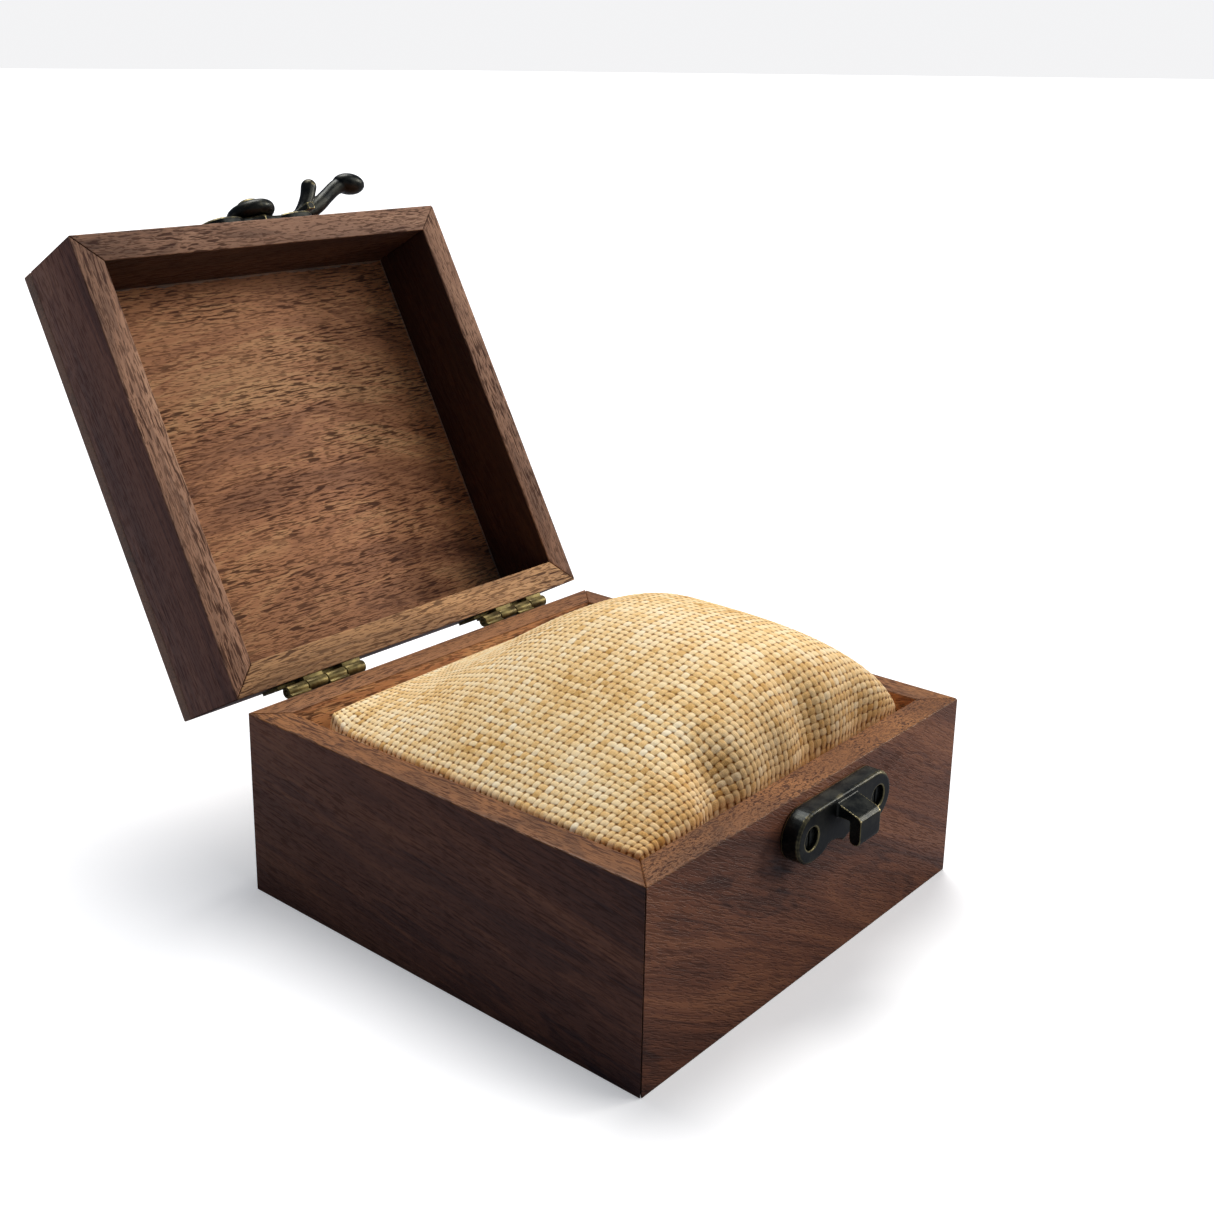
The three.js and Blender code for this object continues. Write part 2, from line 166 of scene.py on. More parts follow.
# Colours by how light the figure is, for the oiled outside, the plain inside and the sanded rims, and two with
# painted shade.
OUTSIDE = [(0.0, (0.036, 0.018, 0.016)), (0.5, (0.205, 0.076, 0.040)), (1.0, (0.400, 0.160, 0.074))]
# Painted shade: a darker, cooler outside for the base's left outer face.
PAINTED_SHADE_SIDE = [(0.0, (0.040, 0.026, 0.030)), (0.5, (0.205, 0.080, 0.048)), (1.0, (0.400, 0.160, 0.082))]
LID_SIDE = [(0.0, (0.080, 0.038, 0.036)), (0.5, (0.330, 0.140, 0.092)), (1.0, (0.540, 0.255, 0.150))]
LID_TOP = [(0.0, (0.120, 0.036, 0.020)), (0.5, (0.560, 0.210, 0.096)), (1.0, (0.760, 0.360, 0.160))]
INSIDE = [(0.0, (0.130, 0.040, 0.018)), (0.5, (0.530, 0.228, 0.098)), (1.0, (0.800, 0.450, 0.200))]
# Painted shade: the inner faces of the lid's walls, far darker than the plain inside.
PAINTED_SHADE_INSIDE = [(0.0, (0.018, 0.006, 0.004)), (0.5, (0.060, 0.023, 0.012)), (1.0, (0.120, 0.052, 0.026))]
SANDED = [(0.0, (0.100, 0.044, 0.024)), (0.5, (0.340, 0.170, 0.096)), (1.0, (0.540, 0.305, 0.180))]
GOLDEN = [(0.0, (0.130, 0.060, 0.024)), (0.5, (0.490, 0.258, 0.106)), (1.0, (0.720, 0.420, 0.190))]
BASE_RIM = [(0.0, (0.070, 0.025, 0.008)), (0.5, (0.210, 0.082, 0.026)), (1.0, (0.360, 0.155, 0.052))]
PORE_COLOUR = (0.045, 0.014, 0.008, 1)
GLUE_COLOUR = (0.36, 0.29, 0.23, 1)


class Board(NamedTuple):
    """How one board is cut: its grain runs along x or y of the shut box, slant leans the figure,
    drift is how much darker it gets from end to end and arch bows the figure, in 1/mm."""

    grain: str
    seed: float
    slant: float = 0.0
    drift: float = 0.0
    arch: float = 0.0
    outside: list = OUTSIDE
    inside: list = INSIDE
    rim: list = SANDED


BASE_BOARDS = {
    "base_front_wall": Board("x", 3.0, 0.55, rim=BASE_RIM),
    "base_back_wall": Board("x", 11.0, 0.1, rim=BASE_RIM),
    # The left wall's outer face is darkened with painted shade.
    "base_left_wall": Board("y", 7.0, -0.12, 0.12, outside=PAINTED_SHADE_SIDE, rim=BASE_RIM),
    "base_right_wall": Board("y", 17.0, 0.2, rim=BASE_RIM),
    "base_bottom_panel": Board("x", 23.0),
}
LID_BOARDS = {
    # The lid walls' inner faces are darkened with painted shade.
    "lid_front_wall": Board("x", 31.0, 0.1, inside=PAINTED_SHADE_INSIDE),
    "lid_back_wall": Board("x", 37.0, inside=PAINTED_SHADE_INSIDE, rim=GOLDEN),
    "lid_left_wall": Board("y", 41.0, 0.05, outside=LID_SIDE, inside=PAINTED_SHADE_INSIDE),
    "lid_right_wall": Board("y", 47.0, 0.1, inside=PAINTED_SHADE_INSIDE),
    "lid_top_panel": Board("x", 53.0, arch=-0.006, outside=LID_TOP),
}


def walnut(name, board, on_lid, glue=False):
    """Walnut that is oiled outside, sanded on the rim and plain inside. glue adds the dried glue
    around the lid's panel."""
    shader = Shader(name)
    x, y, z = shut_coordinates(shader, on_lid)
    along, across = (x, y) if board.grain == "x" else (y, x)
    leaning = shader.math("MULTIPLY_ADD", along, board.slant, z)
    bowed = shader.math("MULTIPLY_ADD", shader.math("MULTIPLY", along, along), board.arch, across)

    def stretched(lengthwise, crosswise, offset, across=across):
        """Coordinates that stretch a texture along the grain."""
        return shader.vector(
            shader.math("MULTIPLY_ADD", along, lengthwise, board.seed + offset),
            shader.math("MULTIPLY", across, crosswise),
            shader.math("MULTIPLY", leaning, crosswise),
        )

    fibre = shader.noise(stretched(0.045, 1.5, 3.0), 1.0, 3.0, 0.65)
    broad = shader.noise(stretched(0.011, 0.055, 0.0, bowed), 1.0, 4.0, 0.55, 0.7)
    figure = wood_figure(shader, broad, fibre, bowed, leaning)
    figure = shader.math("MULTIPLY_ADD", along, board.drift * MM / HALF_Y, figure, clamp=True)
    outer, rim = box_faces(shader, x, y, z, on_lid)
    colour = shader.mix(outer, shader.ramp(figure, board.inside), shader.ramp(figure, board.outside))
    colour = shader.mix(rim, colour, shader.ramp(figure, board.rim))
    pore = pores(shader, stretched)
    strength = shader.blend(outer, 0.85, 0.40)
    strength = shader.math("MAXIMUM", strength, shader.math("MULTIPLY", rim, 0.80))
    colour = shader.mix(shader.math("MULTIPLY", pore, strength), colour, PORE_COLOUR)
    if glue:
        colour = glued_edge(shader, colour, x, y)
    height = shader.math("MULTIPLY_ADD", pore, -1.0, shader.math("MULTIPLY", fibre, 0.35))
    roughness = shader.math("MULTIPLY_ADD", pore, 0.25, shader.blend(outer, 0.58, 0.44))
    inputs = {"Base Color": colour, "Roughness": roughness, "Specular IOR Level": 0.3}
    return shader.finish(inputs, height, 0.12 * MM, 0.6)


def wood_figure(shader, broad, fibre, bowed, leaning):
    """How light the wood is: broad clouds, darker lines where the rings come out, and fibres."""
    depth = shader.math("ADD", shader.math("MULTIPLY", bowed, 0.45), shader.math("MULTIPLY", leaning, 0.38))
    rings = shader.math("SINE", shader.math("MULTIPLY_ADD", broad, 30.0, depth))
    line = shader.smooth(rings, 0.72, 1.0)
    figure = shader.math("MULTIPLY_ADD", broad, 1.7, shader.math("MULTIPLY_ADD", rings, 0.07, -0.38))
    figure = shader.math("ADD", figure, shader.math("MULTIPLY_ADD", fibre, 0.70, -0.34))
    return shader.math("MULTIPLY_ADD", line, -0.20, figure)


def box_faces(shader, x, y, z, on_lid):
    """Two masks over the shut box: its outer faces, and the rim where the base and the lid meet."""
    beyond_x = shader.math("SUBTRACT", shader.math("ABSOLUTE", x), HALF_X / MM)
    beyond_y = shader.math("SUBTRACT", shader.math("ABSOLUTE", y), HALF_Y / MM)
    above = shader.math("SUBTRACT", z, SHUT_TOP / MM)
    outer = shader.math("MAXIMUM", shader.math("MAXIMUM", beyond_x, beyond_y), above)
    from_rim = shader.math("ABSOLUTE", shader.math("SUBTRACT", z, (LID_RIM if on_lid else RIM) / MM))
    return shader.smooth(outer, -0.5, -0.25), shader.smooth(from_rim, 0.4, 0.1)


def pores(shader, stretched):
    """Dark pores: long ones in some places only, and short ones everywhere."""
    coarse = shader.smooth(shader.noise(stretched(0.24, 2.1, 7.0), 1.0, 1.0, 0.4), 0.53, 0.63)
    short = shader.smooth(shader.noise(stretched(0.50, 3.2, 9.0), 1.0, 1.0, 0.4), 0.52, 0.64)
    where = shader.smooth(shader.noise(stretched(0.03, 0.12, 5.0), 1.0, 2.0), 0.30, 0.56)
    coarse = shader.math("MULTIPLY", coarse, where)
    return shader.math("MAXIMUM", coarse, shader.math("MULTIPLY", short, 0.65))


def glued_edge(shader, colour, x, y):
    """A thin whitish line of dried glue where the panel meets the lid's walls."""
    wobble = shader.noise(shader.vector(x, y, 3.0), 0.25, 3.0, 0.6)
    reach = shader.math("MULTIPLY_ADD", wobble, 2.2, -0.80)
    from_front = shader.math("ADD", y, (HALF_Y - WALL) / MM)
    from_sides = shader.math("SUBTRACT", (HALF_X - WALL) / MM, shader.math("ABSOLUTE", x))
    front = shader.smooth(shader.math("SUBTRACT", from_front, reach), 0.25, 0.0)
    beside = shader.math("MULTIPLY_ADD", reach, -0.4, from_sides)
    sides = shader.smooth(beside, 0.15, 0.0)
    mask = shader.math("MULTIPLY", shader.math("MAXIMUM", front, sides), 0.5)
    return shader.mix(mask, colour, GLUE_COLOUR)


# ---- Metals ----


def aged_metal(name, dark, middle, rubbed, worn_from, worn_to, roughness):
    """Plated metal, dark in its hollows and rubbed bright where the Wear attribute is high."""
    shader = Shader(name)
    place = shader.add("TexCoord").outputs["Object"]
    patches = shader.noise(place, 260.0, 5.0, 0.65)
    fine = shader.noise(place, 1500.0, 3.0, 0.6)
    wear = shader.add("Attribute", attribute_name="Wear").outputs["Fac"]
    level = shader.math("ADD", wear, shader.math("MULTIPLY_ADD", patches, 0.06, -0.03))
    rub = shader.smooth(level, worn_from, worn_to)
    tone = shader.mix(shader.smooth(patches, 0.38, 0.66), (*dark, 1), (*middle, 1))
    colour = shader.mix(rub, tone, (*rubbed, 1))
    rough = shader.math("MULTIPLY_ADD", patches, 0.3, roughness - 0.15)
    inputs = {"Base Color": colour, "Metallic": 0.8, "Roughness": rough}
    return shader.finish(inputs, fine, 0.03 * MM, 0.5)


# ---- Burlap ----

# Multiplied into the yarns' colour: painted shade in the hollows between them, and painted shade over the
# cushion's front.
HOLLOW_SHADE = (0.32, 0.20, 0.09, 1)
FRONT_SHADE = (0.72, 0.60, 0.47, 1)
JUTE = [
    (0.10, (0.60, 0.33, 0.085)),
    (0.36, (0.84, 0.545, 0.22)),
    (0.58, (0.97, 0.73, 0.395)),
    (0.90, (0.99, 0.85, 0.60)),
]


def wandering_weave(shader):
    """The Weave UV map, one unit to a yarn, with the yarns led a little astray."""
    weave = shader.add("UVMap", uv_map="Weave").outputs[0]
    wander = shader.add("TexNoise", {"Vector": weave, "Scale": 0.16, "Detail": 2.0}).outputs[1]
    wander = shader.add("VectorMath", {0: wander, 1: (0.5, 0.5, 0.5)}, operation="SUBTRACT").outputs[0]
    inputs = {0: wander, 1: (0.9, 0.9, 0.0), 2: weave}
    weave = shader.add("VectorMath", inputs, operation="MULTIPLY_ADD").outputs[0]
    u, v, _ = shader.add("SeparateXYZ", {0: weave}).outputs
    return u, v


def yarn_height(shader, aside, along_yarn, run, number, lift):
    """A round yarn that rises over one crossing yarn and dives under the next."""
    thickness = shader.noise(shader.vector(shader.math("MULTIPLY", run, 0.35), number, 8.0), 1.0, 2.0)
    narrow = shader.math("MULTIPLY", aside, shader.math("MULTIPLY_ADD", thickness, 1.6, 1.75))
    narrow = shader.math("ABSOLUTE", narrow)
    section = shader.math("MULTIPLY_ADD", shader.math("POWER", narrow, 3.0), -0.5, 0.5)
    wave = shader.math("COSINE", shader.math("MULTIPLY", along_yarn, math.pi))
    return shader.math("MULTIPLY_ADD", wave, lift, section)


def plain_weave(shader, u, v):
    """Warp yarns along v and weft yarns along u. Gives the height of the cloth, the number of the
    yarn on top, and the place along and across that yarn."""
    column, row = shader.math("FLOOR", u), shader.math("FLOOR", v)
    weft_number = shader.math("ADD", row, 300.5)
    off_warp = shader.math("SUBTRACT", shader.math("FRACT", u), 0.5)
    off_weft = shader.math("SUBTRACT", shader.math("FRACT", v), 0.5)
    warp_on_top = shader.math("FLOORED_MODULO", shader.math("ADD", column, row), 2.0)
    lift = shader.math("SUBTRACT", warp_on_top, 0.5)
    warp = yarn_height(shader, off_warp, off_weft, v, column, lift)
    weft = yarn_height(shader, off_weft, off_warp, u, weft_number, shader.math("MULTIPLY", lift, -1.0))
    height = shader.math("MAXIMUM", warp, weft)
    on_warp = shader.math("GREATER_THAN", warp, weft)
    yarn = shader.blend(on_warp, weft_number, column)
    return height, yarn, shader.blend(on_warp, u, v), shader.blend(on_warp, off_weft, off_warp)


def burlap(name):
    """Jute cloth in a plain weave. Its front is darkened with painted shade."""
    shader = Shader(name)
    u, v = wandering_weave(shader)
    height, yarn, run, across = plain_weave(shader, u, v)
    yarn_tone = shader.add("TexWhiteNoise", {"W": yarn}, noise_dimensions="1D").outputs[0]
    slub = shader.noise(shader.vector(shader.math("MULTIPLY", run, 0.22), yarn, 0.0), 1.0, 3.0, 0.6)
    patch = shader.noise(shader.vector(u, v, 0.0), 0.06, 3.0, 0.6)
    slanting = shader.math("MULTIPLY_ADD", run, 2.2, across)
    twist = shader.vector(slanting, shader.math("MULTIPLY", across, 4.0), yarn)
    fibre = shader.noise(twist, 2.2, 3.0, 0.7)
    tone = shader.math("MULTIPLY_ADD", yarn_tone, 0.22, shader.math("MULTIPLY_ADD", slub, 1.6, -0.38))
    tone = shader.math("ADD", tone, shader.math("MULTIPLY_ADD", patch, 0.8, -0.40))
    tone = shader.math("ADD", tone, shader.math("MULTIPLY_ADD", fibre, 0.6, -0.30))
    colour = shader.ramp(tone, JUTE)
    # Painted shade: darker colour where the cloth lies low between the yarns.
    shaded_hollow = shader.mix(1.0, colour, HOLLOW_SHADE, "MULTIPLY")
    colour = shader.mix(shader.smooth(height, -0.05, 0.62), shaded_hollow, colour)
    place = shader.add("SeparateXYZ", {0: shader.add("TexCoord").outputs["Object"]}).outputs
    # Painted shade over the cushion's front, deepest at its front edge.
    front_shade = shader.math("MULTIPLY", shader.smooth(place[1], -0.026, -0.043), 0.72)
    colour = shader.mix(front_shade, colour, FRONT_SHADE, "MULTIPLY")
    bump = shader.math("MULTIPLY_ADD", fibre, 0.35, height)
    inputs = {"Base Color": colour, "Roughness": 0.88, "Specular IOR Level": 0.15}
    inputs.update({"Sheen Weight": 0.15, "Sheen Roughness": 0.5})
    return shader.finish(inputs, bump, 0.20 * MM, 0.8)


# ---- Pieces ----


def show(name, mesh, body, material, replaced=()):
    """Puts a mesh in the scene as a piece that rides on a body."""
    piece = bpy.data.objects.new(name, mesh)
    bpy.context.scene.collection.objects.link(piece)
    mesh.materials.clear()
    mesh.materials.append(material)
    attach(piece, body)
    if replaced:
        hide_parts(*replaced)
    return piece


def welded(node):
    """A CAD node's shape as a bmesh with shared corners and whole flat faces."""
    bm = bmesh.new()
    bm.from_mesh(nodes[node].data)
    bmesh.ops.remove_doubles(bm, verts=bm.verts, dist=0.002 * MM)
    flat = math.radians(1.0)
    bmesh.ops.dissolve_limit(bm, angle_limit=flat, verts=bm.verts, edges=bm.edges)
    return bm


def to_mesh(bm, name):
    mesh = bpy.data.meshes.new(name)
    bm.to_mesh(mesh)
    bm.free()
    return mesh


def scaled(mesh):
    """The mesh from millimetres to metres."""
    mesh.transform(Matrix.Scale(MM, 4))
    return mesh


def body_of(node):
    """The body that a CAD node belongs to."""
    bodies = frame["record"]["behaviour"]["bodies"]
    return next(body for body, members in bodies.items() if node in members)


def finished(node, material, width, segments=2):
    """Replaces a CAD node by the same shape with its sharp edges rounded over."""
    bm = welded(node)
    sharp = math.radians(30)
    edges = [edge for edge in bm.edges if len(edge.link_faces) == 2 and edge.calc_face_angle() > sharp]
    settings = {"segments": segments, "profile": 0.5, "affect": "EDGES", "clamp_overlap": True}
    bmesh.ops.bevel(bm, geom=edges, offset=width, **settings)
    mesh = to_mesh(bm, node + "_finished")
    mesh.shade_smooth()
    mesh.set_sharp_from_angle(angle=math.radians(35))
    return show(node + "_finished", mesh, body_of(node), material, [node])


def read(items, name, width=3):
    """One attribute of all a mesh's items, as an array with a row for each."""
    values = np.zeros(len(items) * width)
    items.foreach_get(name, values)
    return values.reshape(-1, width)


def mark_wear(mesh, passes=4):
    """Stores how far each vertex stands out from its neighbours, as the attribute Wear."""
    ends = read(mesh.edges, "vertices", 2).astype(int)
    count = len(mesh.vertices)
    degree = np.maximum(np.bincount(ends.ravel(), minlength=count), 1)[:, None]

    def around(values):
        total = np.zeros_like(values)
        np.add.at(total, ends[:, 0], values[ends[:, 1]])
        np.add.at(total, ends[:, 1], values[ends[:, 0]])
        return total / degree

    place, normal = read(mesh.vertices, "co"), read(mesh.vertices, "normal")
    spacing = np.linalg.norm(place[ends[:, 0]] - place[ends[:, 1]], axis=1).mean()
    standing = ((place - around(place)) * normal).sum(1, keepdims=True) / spacing
    for _ in range(passes):
        standing = (standing + around(standing)) / 2
    mesh.attributes.new("Wear", "FLOAT", "POINT").data.foreach_set("value", standing.ravel())


def cast(mesh, voxel, passes):
    """A shape as a casting: its solids joined into one skin, with its edges run soft."""
    source = bpy.data.objects.new("casting", mesh)
    bpy.context.scene.collection.objects.link(source)
    remesh = source.modifiers.new("remesh", "REMESH")
    remesh.mode = "VOXEL"
    remesh.voxel_size = voxel
    smooth = source.modifiers.new("smooth", "SMOOTH")
    smooth.factor = 0.5
    smooth.iterations = passes
    depsgraph = bpy.context.evaluated_depsgraph_get()
    skin = bpy.data.meshes.new_from_object(source.evaluated_get(depsgraph))
    bpy.data.objects.remove(source)
    skin.shade_smooth()
    mark_wear(skin)
    return skin


# ---- Boards and hinges ----

BOARD_EDGE = 0.28 * MM
HINGE_EDGE = 0.12 * MM
SCREW_EDGE = 0.1 * MM


def make_boards():
    for boards, on_lid in ((BASE_BOARDS, False), (LID_BOARDS, True)):
        for node, board in boards.items():
            material = walnut("walnut_" + node, board, on_lid, node == "lid_top_panel")
            finished(node, material, BOARD_EDGE, 3)


def make_hinges():
    tones = (0.075, 0.055, 0.018), (0.21, 0.165, 0.060), (0.50, 0.41, 0.18)
    brass = aged_metal("aged_brass", *tones, 0.5, 0.9, 0.45)
    for node in nodes:
        if node.startswith("hinge_"):
            finished(node, brass, HINGE_EDGE)


# ---- Latch ----

CASTING_VOXEL = 0.2 * MM
ROD_SPACING = 0.35


def spine(points, spacing):
    """Places along a smooth curve through the points, whose fourth value is a radius."""
    places = [np.array(point, float) for point in points]
    places = [2 * places[0] - places[1], *places, 2 * places[-1] - places[-2]]
    for before, start, end, after in zip(places, places[1:], places[2:], places[3:]):
        steps = max(2, round(np.linalg.norm((end - start)[:3]) / spacing))
        for step in range(steps):
            k = step / steps
            lead = 2 * start + k * (end - before)
            bend = k * k * (2 * before - 5 * start + 4 * end - after)
            twist = k**3 * (3 * start - before - 3 * end + after)
            yield (lead + bend + twist) / 2
    yield places[-2]


def add_ball(bm, centre, radii, turn=0.0):
    """An ellipsoid, turned about the v axis of the latch's own coordinates."""
    turned = Matrix.Rotation(turn, 4, "Y") @ Matrix.Diagonal((*radii, 1))
    matrix = Matrix.Translation(Vector(centre)) @ turned
    bmesh.ops.create_icosphere(bm, subdivisions=3, radius=1.0, matrix=matrix)


def add_rod(bm, points):
    """A round rod that follows points of (u, v, w, radius)."""
    for u, v, w, radius in spine(points, ROD_SPACING):
        add_ball(bm, (u, v, w), (radius, radius, radius))


def add_block(bm, low, high):
    middle = (Vector(low) + Vector(high)) / 2
    size = Vector(high) - Vector(low)
    matrix = Matrix.Translation(middle) @ Matrix.Diagonal((*size, 1))
    bmesh.ops.create_cube(bm, size=1.0, matrix=matrix)


# The lever, in millimetres in its own coordinates: u along it from the rivet, v up the lid's face
# and w out of that face. Each point of a rod ends with its radius.
LEVER_ARM = [
    (3.2, 1.4, 4.9, 1.35),
    (7.0, 3.9, 4.9, 1.25),
    (11.0, 5.3, 5.0, 1.18),
    (15.0, 5.7, 5.2, 1.30),
    (18.6, 5.6, 5.8, 1.65),
]
LEVER_TAIL = [
    (18.0, 5.6, 5.8, 1.65),
    (21.4, 5.3, 6.5, 1.85),
    (24.8, 4.9, 8.1, 1.9),
    (27.8, 4.5, 9.9, 1.8),
    (30.8, 4.0, 11.6, 1.85),
    (33.6, 3.7, 12.4, 2.1),
]
LEVER_HORN = [
    (18.6, 5.6, 5.9, 1.75),
    (20.4, 5.4, 7.8, 1.7),
    (22.2, 5.0, 10.2, 1.75),
    (23.5, 4.7, 12.6, 1.9),
]
LEVER_TIP = ((35.0, 3.6, 12.2), (4.4, 3.0, 2.5), 0.22)
HOOK_LOW, HOOK_HIGH = (14.9, -2.4, 4.15), (16.9, 5.4, 5.85)
# The eye: the radius of its ring, how far it stands off the lid and its ring's own half sizes.
EYE_RING = 3.6
EYE_HEIGHT = 5.05
EYE_SECTION = (2.05, 2.05, 1.8)
EYE_BALLS = 72
# Along x, z and -y of the shut box lie the lever's u, v and w.
FACE_AXES = Matrix(((1, 0, 0, 0), (0, 0, -1, 0), (0, 1, 0, 0), (0, 0, 0, 1)))


def lever_shape():
    """An eye around the rivet, an arm that bows around the catch, the hook, a horn and a tail."""
    bm = bmesh.new()
    for turn in range(EYE_BALLS):
        angle = math.tau * turn / EYE_BALLS
        place = (EYE_RING * math.cos(angle), EYE_RING * math.sin(angle), EYE_HEIGHT)
        add_ball(bm, place, EYE_SECTION)
    for rod in (LEVER_ARM, LEVER_TAIL, LEVER_HORN):
        add_rod(bm, rod)
    add_ball(bm, *LEVER_TIP)
    add_block(bm, HOOK_LOW, HOOK_HIGH)
    return to_mesh(bm, "lever_shape")


def lever_place():
    """From the lever's own coordinates to its place on the open lid's front."""
    pivot = SHUT @ Vector(joints["latch_pivot"]["pos_m"])
    pivot.y = -HALF_Y
    return SHUT.inverted() @ Matrix.Translation(pivot) @ FACE_AXES


def make_latch():
    tones = (0.010, 0.012, 0.012), (0.040, 0.041, 0.034), (0.34, 0.285, 0.14)
    bronze = aged_metal("aged_bronze", *tones, 0.035, 0.085, 0.38)
    for node in ("catch_plate", "lid_latch_plate", "latch_rivet"):
        shape = to_mesh(welded(node), node + "_shape")
        skin = cast(shape, CASTING_VOXEL, 3)
        show(node + "_cast", skin, body_of(node), bronze, [node])
    lever = cast(scaled(lever_shape()), CASTING_VOXEL, 4)
    lever.transform(lever_place())
    show("latch_lever_cast", lever, "lever", bronze, ["latch_lever"])
    for node in nodes:
        if "_screw_" in node:
            finished(node, bronze, SCREW_EDGE)


# ---- Cushion ----

CUSHION_LOW, CUSHION_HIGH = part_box("cushion")
# The cover's grid: its cells to a side, the yarns to a cell and how often a cell is halved.
CELLS = 31
YARNS_PER_CELL = 2
SUBDIVISIONS = 3
YARN_HEIGHT = 0.12 * MM
# How large the cushion's foot is, as a part of its seam.
FOOT_SIZE = 0.97
# The cushion's form, in millimetres: the gap behind it, its crown below the top of its space, its
# seam below the rim and, at the back, above it, and how far its sides and corners are drawn in.
BACK_GAP = 3.7
CROWN_GAP = 0.2
SEAM_DEPTH = 2.0
BACK_SEAM_RISE = 1.2
RIGHT_SIDE_IN = 1.6
FRONT_SIDE_IN = 1.4
BACK_SIDE_IN = 0.8
LEFT_CORNERS_IN = 2.4
RIGHT_CORNERS_IN = 0.8
CORNERS_IN = 1.5
# Where the crown is, from -1 to 1, and the shapes of the low and the high side of it.
SWELL_ACROSS = (0.17, (1.55, 0.95), (2.6, 0.47))
SWELL_BACKWARDS = (0.06, (3.6, 0.40), (1.9, 1.25))
# Folds, in millimetres: a place on the cover, the way the fold runs, its depth, width and length.
FOLDS = [
    ((-19.0, -40.0, 43.0), (0.22, 0.50, 0.84), 4.4, 3.6, 12.0),
    ((9.5, -40.0, 44.0), (0.10, 0.50, 0.86), 3.4, 3.4, 11.0),
    ((-3.0, -41.0, 41.0), (0.10, 0.45, 0.89), 1.6, 2.6, 6.0),
    ((27.0, -40.0, 41.0), (0.00, 0.45, 0.89), 2.2, 3.0, 7.0),
    ((-42.0, 30.0, 38.0), (0.75, 0.25, 0.60), 2.2, 2.6, 6.0),
]


def rounded(value, middle, low_shape, high_shape):
    """A hump over value from -1 to 1 that is 1 at middle and 0 at both ends. Each side's shape is
    how flat its top is and how steep its end is."""
    low = np.clip((middle - value) / (middle + 1), 0, 1)
    high = np.clip((value - middle) / (1 - middle), 0, 1)
    return (1 - low ** low_shape[0]) ** low_shape[1] * (1 - high ** high_shape[0]) ** high_shape[1]


def stuffing(s, t):
    """The stuffed shape over s and t from -1 to 1, in millimetres: slack to the left and the back,
    full to the right and the front, with its seam lying along the walls of the well."""
    left, right = CUSHION_LOW.x / MM, CUSHION_HIGH.x / MM
    front, back = CUSHION_LOW.y / MM, CUSHION_HIGH.y / MM - BACK_GAP
    to_right, to_front, to_back = np.clip(s, 0, 1), np.clip(-t, 0, 1), np.clip(t, 0, 1)
    corner = (s * t) ** 8
    x = np.where(s < 0, -s * left, s * right)
    x = x - RIGHT_SIDE_IN * (1 - t**4) * to_right**2
    x = x + corner * np.where(s < 0, LEFT_CORNERS_IN, -RIGHT_CORNERS_IN)
    y = np.where(t < 0, -t * front, t * back)
    front_in = FRONT_SIDE_IN * np.clip(0.4 + s, 0, 1) * to_front**2
    y = y + (1 - s**4) * (front_in - BACK_SIDE_IN * to_back**2)
    y = y - CORNERS_IN * corner * np.sign(t)
    seam = RIM / MM - SEAM_DEPTH + (SEAM_DEPTH + BACK_SEAM_RISE) * to_back**3
    swell = rounded(s, *SWELL_ACROSS) * rounded(t, *SWELL_BACKWARDS)
    z = seam + (CUSHION_HIGH.z / MM - CROWN_GAP - seam) * swell
    return np.stack([x, y, z], axis=-1)


def unevenness(values):
    """How far each inner point of the grid is from the middle of its four neighbours."""
    bend = np.zeros_like(values)
    around = values[2:, 1:-1] + values[:-2, 1:-1] + values[1:-1, 2:] + values[1:-1, :-2]
    bend[1:-1, 1:-1] = around / 4 - values[1:-1, 1:-1]
    return bend


def normals(place):
    """The direction that the grid faces at each of its points."""
    facing = np.cross(*np.gradient(place, axis=(0, 1)))
    return facing / np.linalg.norm(facing, axis=-1, keepdims=True)


def part_along(vectors, directions):
    """The part of each vector that lies along its direction."""
    return (vectors * directions).sum(-1, keepdims=True) * directions


def spread(s, t, steps=400):
    """Slides the grid over the stuffing until the yarns are evenly spaced, then folds it."""
    for _ in range(steps):
        place = stuffing(s, t)
        slide = unevenness(place)
        slide -= part_along(slide, normals(place))
        s = s + slide[..., 0] * MM / CUSHION_HIGH.x
        t = t + slide[..., 1] * MM / CUSHION_HIGH.y
    place = stuffing(s, t)
    facing = normals(place)
    for middle, run, depth, width, length in FOLDS:
        run = np.array(run) / np.linalg.norm(run)
        offset = place - np.array(middle)
        lengthwise = part_along(offset, run)
        aside = ((offset - lengthwise) ** 2).sum(-1, keepdims=True) / width**2
        place = place - depth * facing * np.exp(-aside - (lengthwise**2).sum(-1, keepdims=True) / length**2)
    return place


def neighbours(offset_s, offset_t):
    """The two index pairs that pair each grid point with the one at that offset."""
    first = slice(max(0, -offset_s), min(0, -offset_s) or None), slice(0, -offset_t or None)
    second = slice(max(0, offset_s), min(0, offset_s) or None), slice(offset_t, None)
    return first, second


